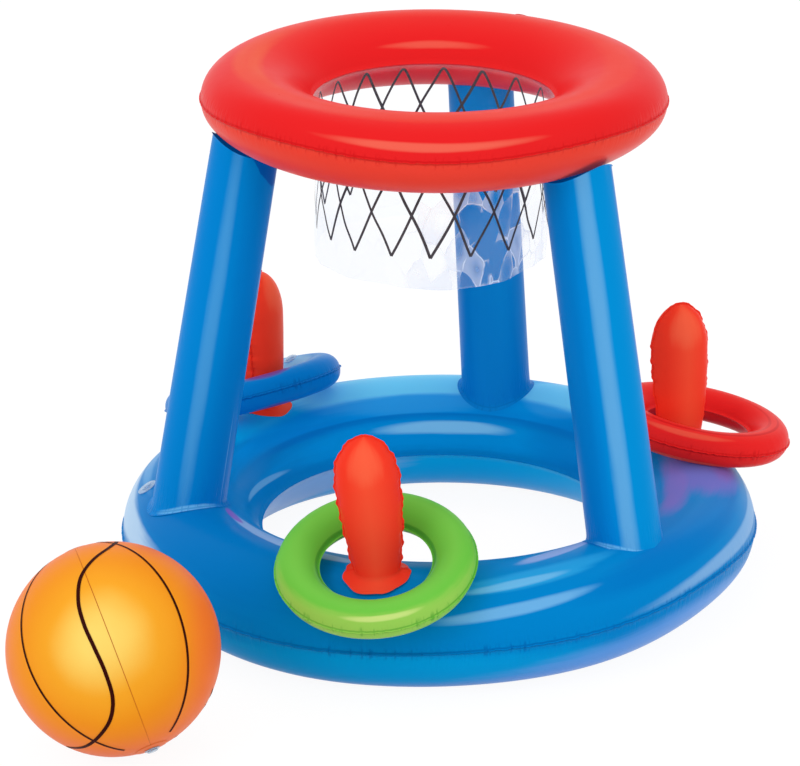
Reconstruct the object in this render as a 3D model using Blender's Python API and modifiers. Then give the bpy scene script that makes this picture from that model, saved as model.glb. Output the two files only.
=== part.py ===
"""Floating basketball hoop for the pool: an inflatable base ring, three legs, a hoop ring with a printed film
skirt, three toss pegs with their rings, and the ball. Metres, +Z up, the viewer stands on the -Y side."""

import math

import bmesh
import bpy
from mathutils import Matrix, Vector
from mathutils.bvhtree import BVHTree

# Film and welds
FILM = 0.0004
GAP = 0.0003
CHAMBER_SEAM = 0.0025
SMALL_SEAM = 0.0016

# Base ring
BASE_INNER_SEAM = 0.1710
BASE_OUTER_SEAM = 0.3025
BASE_FULLNESS = 0.97
BASE_STEPS = 7
BASE_SEGMENTS = 40
REST_WIDTH = 0.022
REST_PRESS = 0.0010

# Hoop ring: it stands a little out of true, its right side and its front side low
HOOP_INNER_SEAM = 0.1130
HOOP_OUTER_SEAM = 0.2151
HOOP_FULLNESS = 0.815
HOOP_SEAM_HEIGHT = 0.4743
HOOP_SIDE_SHIFT = -0.0018
HOOP_ROLL = 0.7
HOOP_NOD = 0.6
HOOP_STEPS = 6
HOOP_SEGMENTS = 36

# Legs: the first one stands at the back. Their feet stand on the base's crest or a little outside it
LEG_COUNT = 3
LEG_FIRST_ANGLE = 75.5
LEG_NAMES = ("back", "left", "right")
LEG_FOOT_RADIUS = 0.0348
LEG_HEAD_RADIUS = 0.0312
LEG_FOOT_OUTS = (0.0, 0.0085, 0.0037)
LEG_HEAD_CIRCLE = 0.1730
LEG_FLARE = 0.0040
LEG_COLLAR_START = 0.0120
LEG_SIDES = 20

# Skirt of clear film with its printed lattice: its wall hangs just inside the hoop's inner weld
SKIRT_LENGTH = 0.1490
SKIRT_INSET = 0.0036
SKIRT_TAPER = 0.0014
SKIRT_TOP_RADIUS = HOOP_INNER_SEAM - SKIRT_INSET
SKIRT_HEM_RADIUS = SKIRT_TOP_RADIUS - SKIRT_TAPER
SKIRT_WELD_WIDTH = 0.0030
LATTICE_PEAKS = 18
LATTICE_ROWS = 3
LATTICE_ROW = 0.0385
LATTICE_TOP_DROP = 0.0035
LATTICE_LINE = 0.0021
LATTICE_RELIEF = 0.0004

# Toss pegs: angle round the base, distance from its middle, lean to the left and to the front, and the turn of
# the weld's plane away from the viewer's left and right. Two flat panels blow up wider than they are deep
PEG_NAMES = ("front", "left", "right")
PEG_ANGLES = (-102.9, 133.7, 18.0)
PEG_CIRCLES = (0.251, 0.2506, 0.247)
PEG_LEFT_LEANS = (4.0, 2.0, 0.7)
PEG_FRONT_LEANS = (8.5, 0.0, 0.0)
PEG_TURNS = (0.0, 70.0, 20.0)
PEG_HEIGHT = 0.1370
PEG_FOOT_RADIUS = 0.0308
PEG_NECK_RADIUS = 0.0205
PEG_BODY_RADIUS = 0.0285
PEG_DEPTH = 0.78
PEG_DOME = 0.0450
PEG_FIN = 0.0018
PEG_SIDES = 16

# Toss rings: tilt away from the base's middle, and how far their middle lies outside and beside the peg's
RING_INNER_SEAM = 0.0520
RING_OUTER_SEAM = 0.0900
RING_FULLNESS = 1.0
RING_STEPS = 4
RING_SEGMENTS = 24
RING_TILTS = (19.0, 20.0, 11.0)
RING_OFFSETS = (0.0140, 0.0180, 0.0185)
RING_SIDE_OFFSETS = (0.0030, 0.0, 0.0)

# Ball
BALL_RADIUS = 0.0930
BALL_PLACE = (-0.2818, -0.3815)
BALL_POLE = (0.367, -0.514, -0.775)
BALL_SEAM_SIDE = (-0.185, -0.385, 0.904)
BALL_GORES = 4
BALL_GORE_STEPS = 5
BALL_LENGTH_STEPS = 10
BALL_END_RADIUS = 0.0115
BALL_PATCH_RADIUS = 0.0150

# Valves, pushed in flush, and their plugs
VALVE_WIDE = 0.0100
VALVE_NARROW = 0.0070
VALVE_THICK = 0.0008
VALVE_STEM = 0.0044
VALVE_BORE = 0.0032
VALVE_DEPTH = 0.0090
PLUG_HEAD = 0.0050
PLUG_THICK = 0.0013
PLUG_LENGTH = 0.0065
VALVE_SIDES = 10
BASE_VALVE = (-175.0, 3)
HOOP_VALVE = (60.0, 2)
RING_VALVES = ((90.0, 1), (50.0, 1), (90.0, 1))

# Colours, in screen values
BLUE = (0, 126, 205)
RED = (232, 40, 34)
PEG_RED = (236, 64, 40)
GREEN = (116, 192, 66)
ORANGE = (247, 160, 48)
CLEAR = (236, 240, 244)
INK = (52, 52, 58)


def clear_scene():
    for item in list(bpy.data.objects):
        bpy.data.objects.remove(item, do_unlink=True)


def new_collection(name, helpers):
    collection = bpy.data.collections.new(name)
    collection.hide_render = helpers
    bpy.context.scene.collection.children.link(collection)
    return collection


def vinyl(name, screen, roughness, see_through=0.0):
    """A plastic film's material from its colour on screen."""
    material = bpy.data.materials.new(name)
    material.use_nodes = True
    shader = material.node_tree.nodes["Principled BSDF"]
    colour = [((value / 255 + 0.055) / 1.055) ** 2.4 for value in screen]
    shader.inputs["Base Color"].default_value = (*colour, 1.0)
    shader.inputs["Roughness"].default_value = roughness
    shader.inputs["Metallic"].default_value = 0.0
    shader.inputs["Transmission Weight"].default_value = see_through
    material.diffuse_color = (*colour, 1.0)
    return material


def add(name, mesh, material=None, parent=None, matrix=Matrix()):
    """A sub-part where a material is given, otherwise a cutter."""
    made = bpy.data.objects.new(name, mesh)
    (PARTS if material else CUTTERS).objects.link(made)
    if material:
        mesh.materials.append(material)
    else:
        made.display_type = "WIRE"
        made.hide_render = True
    made.parent = parent
    made.matrix_local = matrix
    return made


def empty(name, parent, matrix=Matrix()):
    made = bpy.data.objects.new(name, None)
    PARTS.objects.link(made)
    made.parent = parent
    made.matrix_local = matrix
    return made


def baked(made):
    """The object's mesh after its modifiers, with nothing left of them on the object."""
    bpy.context.view_layer.update()
    graph = bpy.context.evaluated_depsgraph_get()
    mesh = bpy.data.meshes.new_from_object(made.evaluated_get(graph))
    made.modifiers.clear()
    made.data = mesh
    return made


def facing_out(made):
    """Turns a closed mesh's faces outwards."""
    shape = bmesh.new()
    shape.from_mesh(made.data)
    bmesh.ops.recalc_face_normals(shape, faces=shape.faces)
    shape.to_mesh(made.data)
    shape.free()
    return made


def finished(made):
    """Smooth shading with the real edges kept."""
    baked(made)
    made.data.shade_smooth()
    made.data.set_sharp_from_angle(angle=math.radians(40))
    return made


def thicken(made, thickness, side=-1):
    solidify = made.modifiers.new("Thickness", "SOLIDIFY")
    solidify.thickness = thickness
    solidify.offset = side
    solidify.use_even_offset = True


def combine(made, other, operation):
    boolean = made.modifiers.new(operation.title(), "BOOLEAN")
    boolean.operation = operation
    boolean.solver = "EXACT"
    boolean.object = other


def turned(name, line, segments, closed=False, **where):
    """The profile turned about Z. A closed profile makes a ring-shaped solid."""
    mesh = bpy.data.meshes.new(name)
    edges = [(i, i + 1) for i in range(len(line) - 1)]
    if closed:
        edges.append((len(line) - 1, 0))
    mesh.from_pydata([(r, 0.0, z) for r, z in line], edges, [])
    made = add(name, mesh, **where)
    screw = made.modifiers.new("Turn", "SCREW")
    screw.steps = screw.render_steps = segments
    screw.use_merge_vertices = True
    screw.merge_threshold = 0.00005
    baked(made)
    return facing_out(made) if closed or line[0][0] == line[-1][0] == 0 else made


def rod(name, start, end, start_radius, end_radius, sides, **where):
    """A round bar between two points."""
    along = Vector(end) - Vector(start)
    shape = bmesh.new()
    bmesh.ops.create_cone(
        shape, cap_ends=True, segments=sides, radius1=start_radius, radius2=end_radius, depth=along.length
    )
    mesh = bpy.data.meshes.new(name)
    shape.to_mesh(mesh)
    shape.free()
    turn = along.to_track_quat("Z", "Y").to_matrix().to_4x4()
    return add(name, mesh, matrix=Matrix.Translation((Vector(start) + Vector(end)) / 2) @ turn, **where)


def film_path(crest, inner, outer, steps):
    """The blown film's line from the outer seam over the crest to the inner seam.

    Film held only along its length bends in proportion to its distance from the axis."""
    reach = outer**2 - crest**2
    last = math.asin((inner**2 - crest**2) / reach)
    outer_steps = (steps + 1) // 2
    corners = [math.pi / 2 * (1 - i / outer_steps) for i in range(outer_steps)]
    corners += [last * i / (steps - outer_steps) for i in range(steps - outer_steps + 1)]
    line, height, fine = [(outer, 0.0)], 0.0, 24
    for first, second in zip(corners, corners[1:]):
        for i in range(fine):
            angle = first + (second - first) * (i + 0.5) / fine
            radius = math.sqrt(crest**2 + reach * math.sin(angle))
            height += reach * math.sin(angle) / (2 * radius) * (first - second) / fine
        line.append((math.sqrt(crest**2 + reach * math.sin(second)), height))
    return line


def section(inner, outer, fullness, steps):
    """Upper half of a blown ring's section, from the inner seam to the outer one."""
    low, high = inner * 1.0001, math.sqrt((inner**2 + outer**2) / 2) * 0.999999
    for _ in range(60):
        crest = (low + high) / 2
        if film_path(crest, inner, outer, steps)[-1][1] > 0:
            low = crest
        else:
            high = crest
    line = [(r, z * fullness) for r, z in film_path(crest, inner, outer, steps)]
    line[-1] = (inner, 0.0)
    return line[::-1]


def pressed(line, width, press):
    """The section with its crest pressed flat."""
    top = max(range(len(line)), key=lambda i: line[i][1])
    crest, height = line[top]
    flat = [(crest - width / 2, height - press), (crest + width / 2, height - press)]
    return line[:top] + flat + line[top + 1 :]


def grown(line, by):
    """The line moved outwards, each stretch staying parallel to itself."""
    normals = []
    for (r0, z0), (r1, z1) in zip(line, line[1:]):
        length = math.hypot(r1 - r0, z1 - z0)
        normals.append((-(z1 - z0) / length, (r1 - r0) / length))
    moved = []
    for i, (r, z) in enumerate(line):
        before, after = normals[max(i - 1, 0)], normals[min(i, len(normals) - 1)]
        share = by / (1 + before[0] * after[0] + before[1] * after[1])
        moved.append((r + (before[0] + after[0]) * share, z + (before[1] + after[1]) * share))
    return moved


def outside(line):
    """The outer face of the upper panel, measured from the middle of the seam."""
    return [(r, z + GAP / 2 + FILM) for r, z in line]


def panel(name, line, seam, upper, segments, material, parent):
    """One annular film panel with the flat weld strips along both its edges."""
    face = outside(line)
    strip_height = face[0][1]
    face = [(face[0][0] - seam, strip_height)] + face + [(face[-1][0] + seam, strip_height)]
    if not upper:
        face = [(r, -z) for r, z in reversed(face)]
    made = turned(name, face, segments, material=material, parent=parent)
    thicken(made, FILM)
    return made


def ring_cutter(name, upper_line, lower_line, by, segments, parent):
    """The whole chamber as one solid, grown by a clearance."""
    top = grown(outside(upper_line), by)
    bottom = [(r, -z) for r, z in reversed(grown(outside(lower_line), by))]
    return turned(name, top + bottom, segments, closed=True, parent=parent)


def on_panel(line, angle, stretch, segments):
    """Where a valve stands: the middle of the flat at that angle, on one stretch of the section."""
    step = 2 * math.pi / segments
    turn = (math.floor(math.radians(angle) / step) + 0.5) * step
    (r0, z0), (r1, z1) = outside(line)[stretch : stretch + 2]
    inward = math.cos(step / 2)
    out = Vector((-(z1 - z0), 0.0, (r1 - r0) * inward)).normalized()
    place = Vector(((r0 + r1) / 2 * inward, 0.0, (z0 + z1) / 2))
    tilt = out.to_track_quat("Z", "Y").to_matrix().to_4x4()
    return Matrix.Rotation(turn, 4, "Z") @ Matrix.Translation(place) @ tilt


def hole(film, name, matrix, parent):
    """The round hole that a valve's stem goes through."""
    depth = VALVE_DEPTH
    cutter = rod(name, (0, 0, -depth), (0, 0, depth), VALVE_STEM + GAP, VALVE_STEM + GAP, VALVE_SIDES, parent=parent)
    cutter.matrix_local = matrix
    combine(film, cutter, "DIFFERENCE")


def valve(owner, radius, matrix, material, parent):
    """A moulded valve body with its flange on the film, and the plug pushed into it."""
    seat = empty(owner + "_valve_seat", parent, matrix)
    low, top = GAP, GAP + VALVE_THICK
    body = [
        (VALVE_BORE, top),
        (radius - VALVE_THICK, top),
        (radius, low + VALVE_THICK / 3),
        (radius, low),
        (VALVE_STEM, low),
        (VALVE_STEM, -VALVE_DEPTH),
        (VALVE_BORE, -VALVE_DEPTH),
    ]
    finished(turned(owner + "_valve", body, VALVE_SIDES, closed=True, material=material, parent=seat))
    under = top + GAP
    shank = VALVE_BORE - GAP
    plug = [
        (0.0, under + PLUG_THICK),
        (PLUG_HEAD - PLUG_THICK / 2, under + PLUG_THICK),
        (PLUG_HEAD, under + PLUG_THICK / 2),
        (PLUG_HEAD, under),
        (shank, under),
        (shank, -PLUG_LENGTH),
        (0.0, -PLUG_LENGTH),
    ]
    finished(turned(owner + "_valve_plug", plug, VALVE_SIDES, material=material, parent=seat))


def base_ring(root):
    line = section(BASE_INNER_SEAM, BASE_OUTER_SEAM, BASE_FULLNESS, BASE_STEPS)
    resting = pressed(line, REST_WIDTH, REST_PRESS)
    height = max(z for _, z in outside(resting))
    seam = empty("base_seam", root, Matrix.Translation((0, 0, height)))
    film = vinyl("blue_vinyl", BLUE, 0.22, 0.25)
    upper = panel("base_upper_panel", line, CHAMBER_SEAM, True, BASE_SEGMENTS, film, seam)
    place = on_panel(line, BASE_VALVE[0], len(line) - 1 - BASE_VALVE[1], BASE_SEGMENTS)
    hole(upper, "cut_base_valve", place, seam)
    finished(upper)
    finished(panel("base_lower_panel", resting, CHAMBER_SEAM, False, BASE_SEGMENTS, film, seam))
    valve("base", VALVE_WIDE, place, vinyl("clear_valve_vinyl", CLEAR, 0.25, 0.5), seam)
    near = ring_cutter("cut_base_clearance", line, resting, GAP, BASE_SEGMENTS, seam)
    far = ring_cutter("cut_base_collar", line, resting, GAP + FILM, BASE_SEGMENTS, seam)
    crest, top = max(outside(line), key=lambda point: point[1])
    return {"film": film, "near": near, "far": far, "crest": crest, "seam": height, "top": height + top}


def hoop_ring(root):
    line = section(HOOP_INNER_SEAM, HOOP_OUTER_SEAM, HOOP_FULLNESS, HOOP_STEPS)
    tilt = Matrix.Rotation(math.radians(HOOP_ROLL), 4, "Y") @ Matrix.Rotation(math.radians(HOOP_NOD), 4, "X")
    seam = empty("hoop_seam", root, Matrix.Translation((HOOP_SIDE_SHIFT, 0, HOOP_SEAM_HEIGHT)) @ tilt)
    film = vinyl("red_vinyl", RED, 0.28)
    upper = panel("hoop_upper_panel", line, CHAMBER_SEAM, True, HOOP_SEGMENTS, film, seam)
    place = on_panel(line, HOOP_VALVE[0], len(line) - 1 - HOOP_VALVE[1], HOOP_SEGMENTS)
    hole(upper, "cut_hoop_valve", place, seam)
    finished(upper)
    finished(panel("hoop_lower_panel", line, CHAMBER_SEAM, False, HOOP_SEGMENTS, film, seam))
    valve("hoop", VALVE_WIDE, place, vinyl("red_valve_vinyl", RED, 0.3), seam)
    near = ring_cutter("cut_hoop_clearance", line, line, GAP, HOOP_SEGMENTS, seam)
    far = ring_cutter("cut_hoop_collar", line, line, GAP + FILM, HOOP_SEGMENTS, seam)
    return {"near": near, "far": far, "seam": seam}


def leg(name, angle, foot_out, base, hoop, root):
    """A tube of film welded to the base's top and to the hoop's underside."""
    way = Vector((math.cos(math.radians(angle)), math.sin(math.radians(angle)), 0.0))
    foot = way * (base["crest"] + foot_out) + Vector((0, 0, base["seam"]))
    head = hoop["seam"].matrix_local @ (way * LEG_HEAD_CIRCLE)
    radii = LEG_FOOT_RADIUS, LEG_HEAD_RADIUS
    made = rod(name, foot, head, *radii, LEG_SIDES, material=base["film"], parent=root)
    along = (head - foot).normalized()
    ends = (("foot", foot, along, radii[0], base), ("head", head, -along, radii[1], hoop))
    for end, start, into, radius, chamber in ends:
        inner = start + into * LEG_COLLAR_START
        outer = start + into * (BASE_OUTER_SEAM - BASE_INNER_SEAM) / 2
        wide = radius + LEG_FLARE
        collar = rod("cut_" + name + "_" + end, inner, outer, wide, wide, LEG_SIDES, parent=root)
        combine(collar, chamber["far"], "INTERSECT")
        combine(made, collar, "UNION")
    over = along * 0.01
    bore = rod("cut_" + name, foot - over, head + over, radii[0] - FILM, radii[1] - FILM, LEG_SIDES, parent=root)
    combine(made, bore, "DIFFERENCE")
    combine(made, base["near"], "DIFFERENCE")
    combine(made, hoop["near"], "DIFFERENCE")
    finished(made)


def skirt(hoop_seam):
    """The clear film skirt welded under the hoop's inner seam."""
    top = -(GAP / 2 + FILM + GAP + FILM)
    face = [
        (SKIRT_TOP_RADIUS + SKIRT_WELD_WIDTH, top),
        (SKIRT_TOP_RADIUS, top),
        (SKIRT_HEM_RADIUS, top - SKIRT_LENGTH),
    ]
    film = vinyl("clear_vinyl", CLEAR, 0.12, 0.9)
    made = turned("net_skirt", face, 2 * LATTICE_PEAKS, material=film, parent=hoop_seam)
    thicken(made, FILM)
    finished(made)
    return top


def lattice(top, hoop_seam):
    """The net printed on the skirt: crossed lines whose corners lie on the film's own corners."""
    columns, rows, drop = 2 * LATTICE_PEAKS, LATTICE_ROWS, LATTICE_ROW
    turn = 2 * math.pi / columns
    wide = 2 * SKIRT_TOP_RADIUS * math.sin(turn / 2)
    slope = math.atan2(drop, wide)
    half_height = LATTICE_LINE / 2 / math.cos(slope)
    half_width = LATTICE_LINE / 2 / math.sin(slope)

    def point(column, share, height):
        """A point on the flat between two columns, share of the way across it, clear of the film."""
        taper = (top - height) / SKIRT_LENGTH
        radius = SKIRT_TOP_RADIUS + (SKIRT_HEM_RADIUS - SKIRT_TOP_RADIUS) * taper + GAP / math.cos(turn / 2)
        turns = (column * turn, (column + 1) * turn)
        ends = [Vector((radius * math.cos(a), radius * math.sin(a), height)) for a in turns]
        return ends[0].lerp(ends[1], share)

    shape = bmesh.new()
    corners = {}
    share = half_width / wide
    for row in range(rows + 1):
        height = top - LATTICE_TOP_DROP - row * drop
        for column in range(row % 2, columns, 2):
            spots = (
                point(column, 0.0, height + half_height),
                point(column, share, height),
                point(column, 0.0, height - half_height),
                point(column - 1, 1 - share, height),
            )
            up, right, down, left = corners[row, column] = [shape.verts.new(spot) for spot in spots]
            shape.faces.new((up, down, right))
            shape.faces.new((up, left, down))
    for row in range(rows):
        for column in range(row % 2, columns, 2):
            up, right, down, left = corners[row, column]
            _, _, _, next_left = corners[row + 1, (column + 1) % columns]
            next_up = corners[row + 1, (column + 1) % columns][0]
            shape.faces.new((right, down, next_left, next_up))
            last_up, last_right = corners[row + 1, (column - 1) % columns][:2]
            shape.faces.new((down, left, last_up, last_right))
    bmesh.ops.recalc_face_normals(shape, faces=shape.faces)
    mesh = bpy.data.meshes.new("net_print")
    shape.to_mesh(mesh)
    shape.free()
    made = add("net_print", mesh, material=vinyl("net_ink", INK, 0.4), parent=hoop_seam)
    thicken(made, LATTICE_RELIEF, 1)
    finished(made)


def flattened(made, wall):
    """A peg's turned body or bore made less deep than wide, its wall kept as thick all round."""
    for vertex in made.data.vertices:
        radius = math.hypot(vertex.co.x, vertex.co.y)
        if radius > 0:
            vertex.co.y *= (PEG_DEPTH * (radius + wall) - wall) / radius
    return made


def peg_line(foot):
    """A peg's outer profile from its top down, starting on its axis. Heights are above the base's crest."""
    dome = [
        (PEG_BODY_RADIUS * math.sin(math.radians(a)), PEG_HEIGHT - PEG_DOME + PEG_DOME * math.cos(math.radians(a)))
        for a in (0, 32, 62, 90)
    ]
    waist = PEG_HEIGHT - PEG_DOME
    sides = [
        (PEG_NECK_RADIUS + (PEG_BODY_RADIUS - PEG_NECK_RADIUS) * math.cos((1 - share) * math.pi / 2), waist * share)
        for share in (0.62, 0.30, 0.05)
    ]
    return dome + sides + [(PEG_NECK_RADIUS, -foot)]


def peg(index, base, root):
    """Two film panels welded up one side, over the top and down the other, and onto the base by their foot."""
    name = PEG_NAMES[index]
    angle = math.radians(PEG_ANGLES[index])
    place = Vector((math.cos(angle), math.sin(angle), 0.0)) * PEG_CIRCLES[index]
    lean = Matrix.Rotation(-math.radians(PEG_LEFT_LEANS[index]), 4, "Y")
    lean = Matrix.Rotation(math.radians(PEG_FRONT_LEANS[index]), 4, "X") @ lean
    lean = lean @ Matrix.Rotation(math.radians(PEG_TURNS[index]), 4, "Z")
    stand = empty(name + "_peg_axis", root, Matrix.Translation(place + Vector((0, 0, base["top"]))) @ lean)
    foot = base["top"] - base["seam"]
    line = peg_line(foot) + [(0.0, -foot)]
    body = flattened(turned("cut_" + name + "_peg_body", line, PEG_SIDES, parent=stand), 0.0)

    angles = fin_angles(line)
    outline = [(r + PEG_FIN * math.cos(a), z + PEG_FIN * math.sin(a)) for (r, z), a in zip(line[:-1], angles)]
    outline = [(-r, z) for r, z in reversed(outline[1:])] + outline
    thick = 2 * FILM + GAP
    mesh = bpy.data.meshes.new("fin")
    shape = bmesh.new()
    flat = shape.faces.new([shape.verts.new((r, -thick / 2, z)) for r, z in outline])
    grown_face = bmesh.ops.extrude_face_region(shape, geom=[flat])
    moved = [item for item in grown_face["geom"] if isinstance(item, bmesh.types.BMVert)]
    bmesh.ops.translate(shape, verts=moved, vec=(0, thick, 0))
    bmesh.ops.recalc_face_normals(shape, faces=shape.faces)
    shape.to_mesh(mesh)
    shape.free()
    fin = add("cut_" + name + "_peg_fin", mesh, parent=stand)

    collar = rod(
        "cut_" + name + "_peg_collar", (0, 0, -foot / 2), (0, 0, foot / 2), PEG_FOOT_RADIUS, PEG_FOOT_RADIUS,
        PEG_SIDES, parent=stand,
    )
    combine(collar, base["far"], "INTERSECT")
    bore_line = [(0.0, line[0][1] - FILM)]
    bore_line += [(r - FILM, z - FILM * (r < PEG_BODY_RADIUS * 0.8)) for r, z in line[1:-1]]
    bore_line[-1] = (bore_line[-1][0], -foot * 1.2)
    bore_line.append((0.0, -foot * 1.2))
    bore = flattened(turned("cut_" + name + "_peg_bore", bore_line, PEG_SIDES, parent=stand), FILM)
    combine(body, fin, "UNION")
    combine(body, collar, "UNION")
    combine(body, bore, "DIFFERENCE")
    combine(body, base["near"], "DIFFERENCE")
    whole = baked(body).data
    film = vinyl(name + "_peg_vinyl", PEG_RED, 0.24)
    for half, side in (("front", -1), ("back", 1)):
        shape = bmesh.new()
        shape.from_mesh(whole)
        everything = shape.verts[:] + shape.edges[:] + shape.faces[:]
        split = bmesh.ops.bisect_plane(
            shape, geom=everything, plane_co=(0, side * GAP / 2, 0), plane_no=(0, -side, 0), clear_outer=True
        )
        rim = [item for item in split["geom_cut"] if isinstance(item, bmesh.types.BMEdge)]
        bmesh.ops.edgeloop_fill(shape, edges=rim)
        bmesh.ops.recalc_face_normals(shape, faces=shape.faces)
        mesh = bpy.data.meshes.new(f"{name}_peg_{half}_panel")
        shape.to_mesh(mesh)
        shape.free()
        made = add(f"{name}_peg_{half}_panel", mesh, material=film, parent=stand)
        finished(made)
    return stand


def fin_angles(line):
    """Which way the weld fin points at each profile point, in the profile's own plane."""
    angles = [math.pi / 2]
    for before, after in zip(line, line[2:]):
        angles.append(math.atan2(after[0] - before[0], -(after[1] - before[1])))
    angles[-1] = 0.0
    return angles


def shape_of(made):
    """The object's points in the world, and a tree of its faces."""
    bpy.context.view_layer.update()
    points = [made.matrix_world @ vertex.co for vertex in made.data.vertices]
    return points, BVHTree.FromPolygons(points, [tuple(face.vertices) for face in made.data.polygons])


def set_down(holder, piece, floor):
    """Lowers the holder until its piece lies on the floor piece, a clearance above it."""
    points, tree = shape_of(piece)
    floor_points, floor_tree = shape_of(floor)
    down = Vector((0, 0, -1))
    falls = [floor_tree.ray_cast(point, down)[3] for point in points]
    falls += [tree.ray_cast(point, -down)[3] for point in floor_points]
    holder.location += down * min(fall for fall in falls if fall is not None)
    while shape_of(piece)[1].overlap(floor_tree):
        holder.location -= down * GAP / 3
    holder.location -= down * GAP


def toss_ring(index, name, screen, base, root):
    """A small blown ring lying on the base round its peg, tipped outwards."""
    line = section(RING_INNER_SEAM, RING_OUTER_SEAM, RING_FULLNESS, RING_STEPS)
    angle = math.radians(PEG_ANGLES[index])
    reach = PEG_CIRCLES[index] + RING_OFFSETS[index]
    spot = Matrix.Rotation(angle, 4, "Z") @ Vector((reach, RING_SIDE_OFFSETS[index], 0))
    spot.z = base["top"] + RING_OUTER_SEAM
    tip = Matrix.Rotation(angle, 4, "Z") @ Matrix.Rotation(math.radians(RING_TILTS[index]), 4, "Y")
    turn = tip @ Matrix.Rotation(-angle, 4, "Z")
    centre = empty(name + "_ring_centre", root)
    centre.matrix_local = Matrix.Translation(spot) @ turn
    film = vinyl(name + "_vinyl", screen, 0.22)
    upper = panel(name + "_ring_upper_panel", line, SMALL_SEAM, True, RING_SEGMENTS, film, centre)
    place = on_panel(line, RING_VALVES[index][0], RING_VALVES[index][1], RING_SEGMENTS)
    hole(upper, "cut_" + name + "_ring_valve", place, centre)
    finished(upper)
    lower = finished(panel(name + "_ring_lower_panel", line, SMALL_SEAM, False, RING_SEGMENTS, film, centre))
    valve(name + "_ring", VALVE_NARROW, place, vinyl(name + "_valve_vinyl", CLEAR, 0.25, 0.5), centre)
    set_down(centre, lower, bpy.data.objects["base_upper_panel"])
    return centre


def ball(root):
    """Four gores welded from pole to pole, a round patch over each pole, and the valve through one patch."""
    pole = Vector(BALL_POLE).normalized()
    side = Vector(BALL_SEAM_SIDE)
    side = (side - pole * side.dot(pole)).normalized()
    turn = Matrix((side, pole.cross(side), pole)).transposed().to_4x4()
    middle = empty("ball_centre", root, Matrix.Translation((*BALL_PLACE, BALL_RADIUS)) @ turn)
    film = vinyl("ball_vinyl", ORANGE, 0.2, 0.3)
    end = math.asin(BALL_END_RADIUS / BALL_RADIUS)
    for gore in range(BALL_GORES):
        shape = bmesh.new()
        grid = []
        for i in range(BALL_LENGTH_STEPS + 1):
            polar = end + (math.pi - 2 * end) * i / BALL_LENGTH_STEPS
            slit = GAP / 2 / (BALL_RADIUS * math.sin(polar))
            wide = 2 * math.pi / BALL_GORES - 2 * slit
            row = []
            for j in range(BALL_GORE_STEPS + 1):
                around = gore * 2 * math.pi / BALL_GORES + slit + wide * j / BALL_GORE_STEPS
                row.append(
                    shape.verts.new(
                        (
                            BALL_RADIUS * math.sin(polar) * math.cos(around),
                            BALL_RADIUS * math.sin(polar) * math.sin(around),
                            BALL_RADIUS * math.cos(polar),
                        )
                    )
                )
            grid.append(row)
        for first, second in zip(grid, grid[1:]):
            for j in range(BALL_GORE_STEPS):
                shape.faces.new((first[j], second[j], second[j + 1], first[j + 1]))
        mesh = bpy.data.meshes.new(f"ball_gore_{gore + 1}")
        shape.to_mesh(mesh)
        shape.free()
        made = add(f"ball_gore_{gore + 1}", mesh, material=film, parent=middle)
        thicken(made, FILM)
        finished(made)
    over = BALL_RADIUS + GAP + FILM
    reach = math.asin(BALL_PATCH_RADIUS / over)
    for name, pierced in (("ball_valve_patch", True), ("ball_end_patch", False)):
        start = math.asin((VALVE_STEM + GAP) / over) if pierced else 0.0
        angles = [start + (reach - start) * i / 2 for i in range(3)]
        face = [(over * math.sin(a), over * math.cos(a)) for a in angles]
        if not pierced:
            face[0] = (0.0, over)
        flip = Matrix() if pierced else Matrix.Rotation(math.pi, 4, "X")
        patch = turned(name, face, 2 * VALVE_SIDES, material=film, parent=middle, matrix=flip)
        thicken(patch, FILM)
        finished(patch)
    place = Matrix.Translation((0, 0, over * math.cos(math.asin(VALVE_STEM / over))))
    valve("ball", VALVE_NARROW, place, vinyl("ball_valve_vinyl", CLEAR, 0.25, 0.5), middle)
    bpy.context.view_layer.update()
    low = min(point.z for made in middle.children if made.type == "MESH" for point in shape_of(made)[0])
    middle.matrix_local = Matrix.Translation((0, 0, -low)) @ middle.matrix_local


def centred(root):
    """Moves the whole set so that its outline's middle lies over the origin."""
    points = [point for made in PARTS.objects if made.type == "MESH" for point in shape_of(made)[0]]
    for axis in (0, 1):
        values = [point[axis] for point in points]
        root.location[axis] = -(min(values) + max(values)) / 2


clear_scene()
PARTS = new_collection("floating_basketball_hoop", False)
CUTTERS = new_collection("cutters", True)
ROOT = empty("floating_basketball_hoop", None)
BASE = base_ring(ROOT)
HOOP = hoop_ring(ROOT)
for number in range(LEG_COUNT):
    turn = LEG_FIRST_ANGLE + number * 360 / LEG_COUNT
    leg(LEG_NAMES[number] + "_leg", turn, LEG_FOOT_OUTS[number], BASE, HOOP, ROOT)
lattice(skirt(HOOP["seam"]), HOOP["seam"])
for number in range(len(PEG_NAMES)):
    peg(number, BASE, ROOT)
for number, (title, colour) in enumerate((("green", GREEN), ("blue", BLUE), ("red", RED))):
    toss_ring(number, title, colour, BASE, ROOT)
ball(ROOT)
centred(ROOT)
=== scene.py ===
"""Floating basketball hoop for the pool, dressed for its picture: blown vinyl chambers, welded seams, a
clear skirt with its printed net, toss rings over their pegs, and the ball. Metres, +Z up."""

import math

import bpy
import numpy as np
from mathutils import Matrix, Vector


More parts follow.
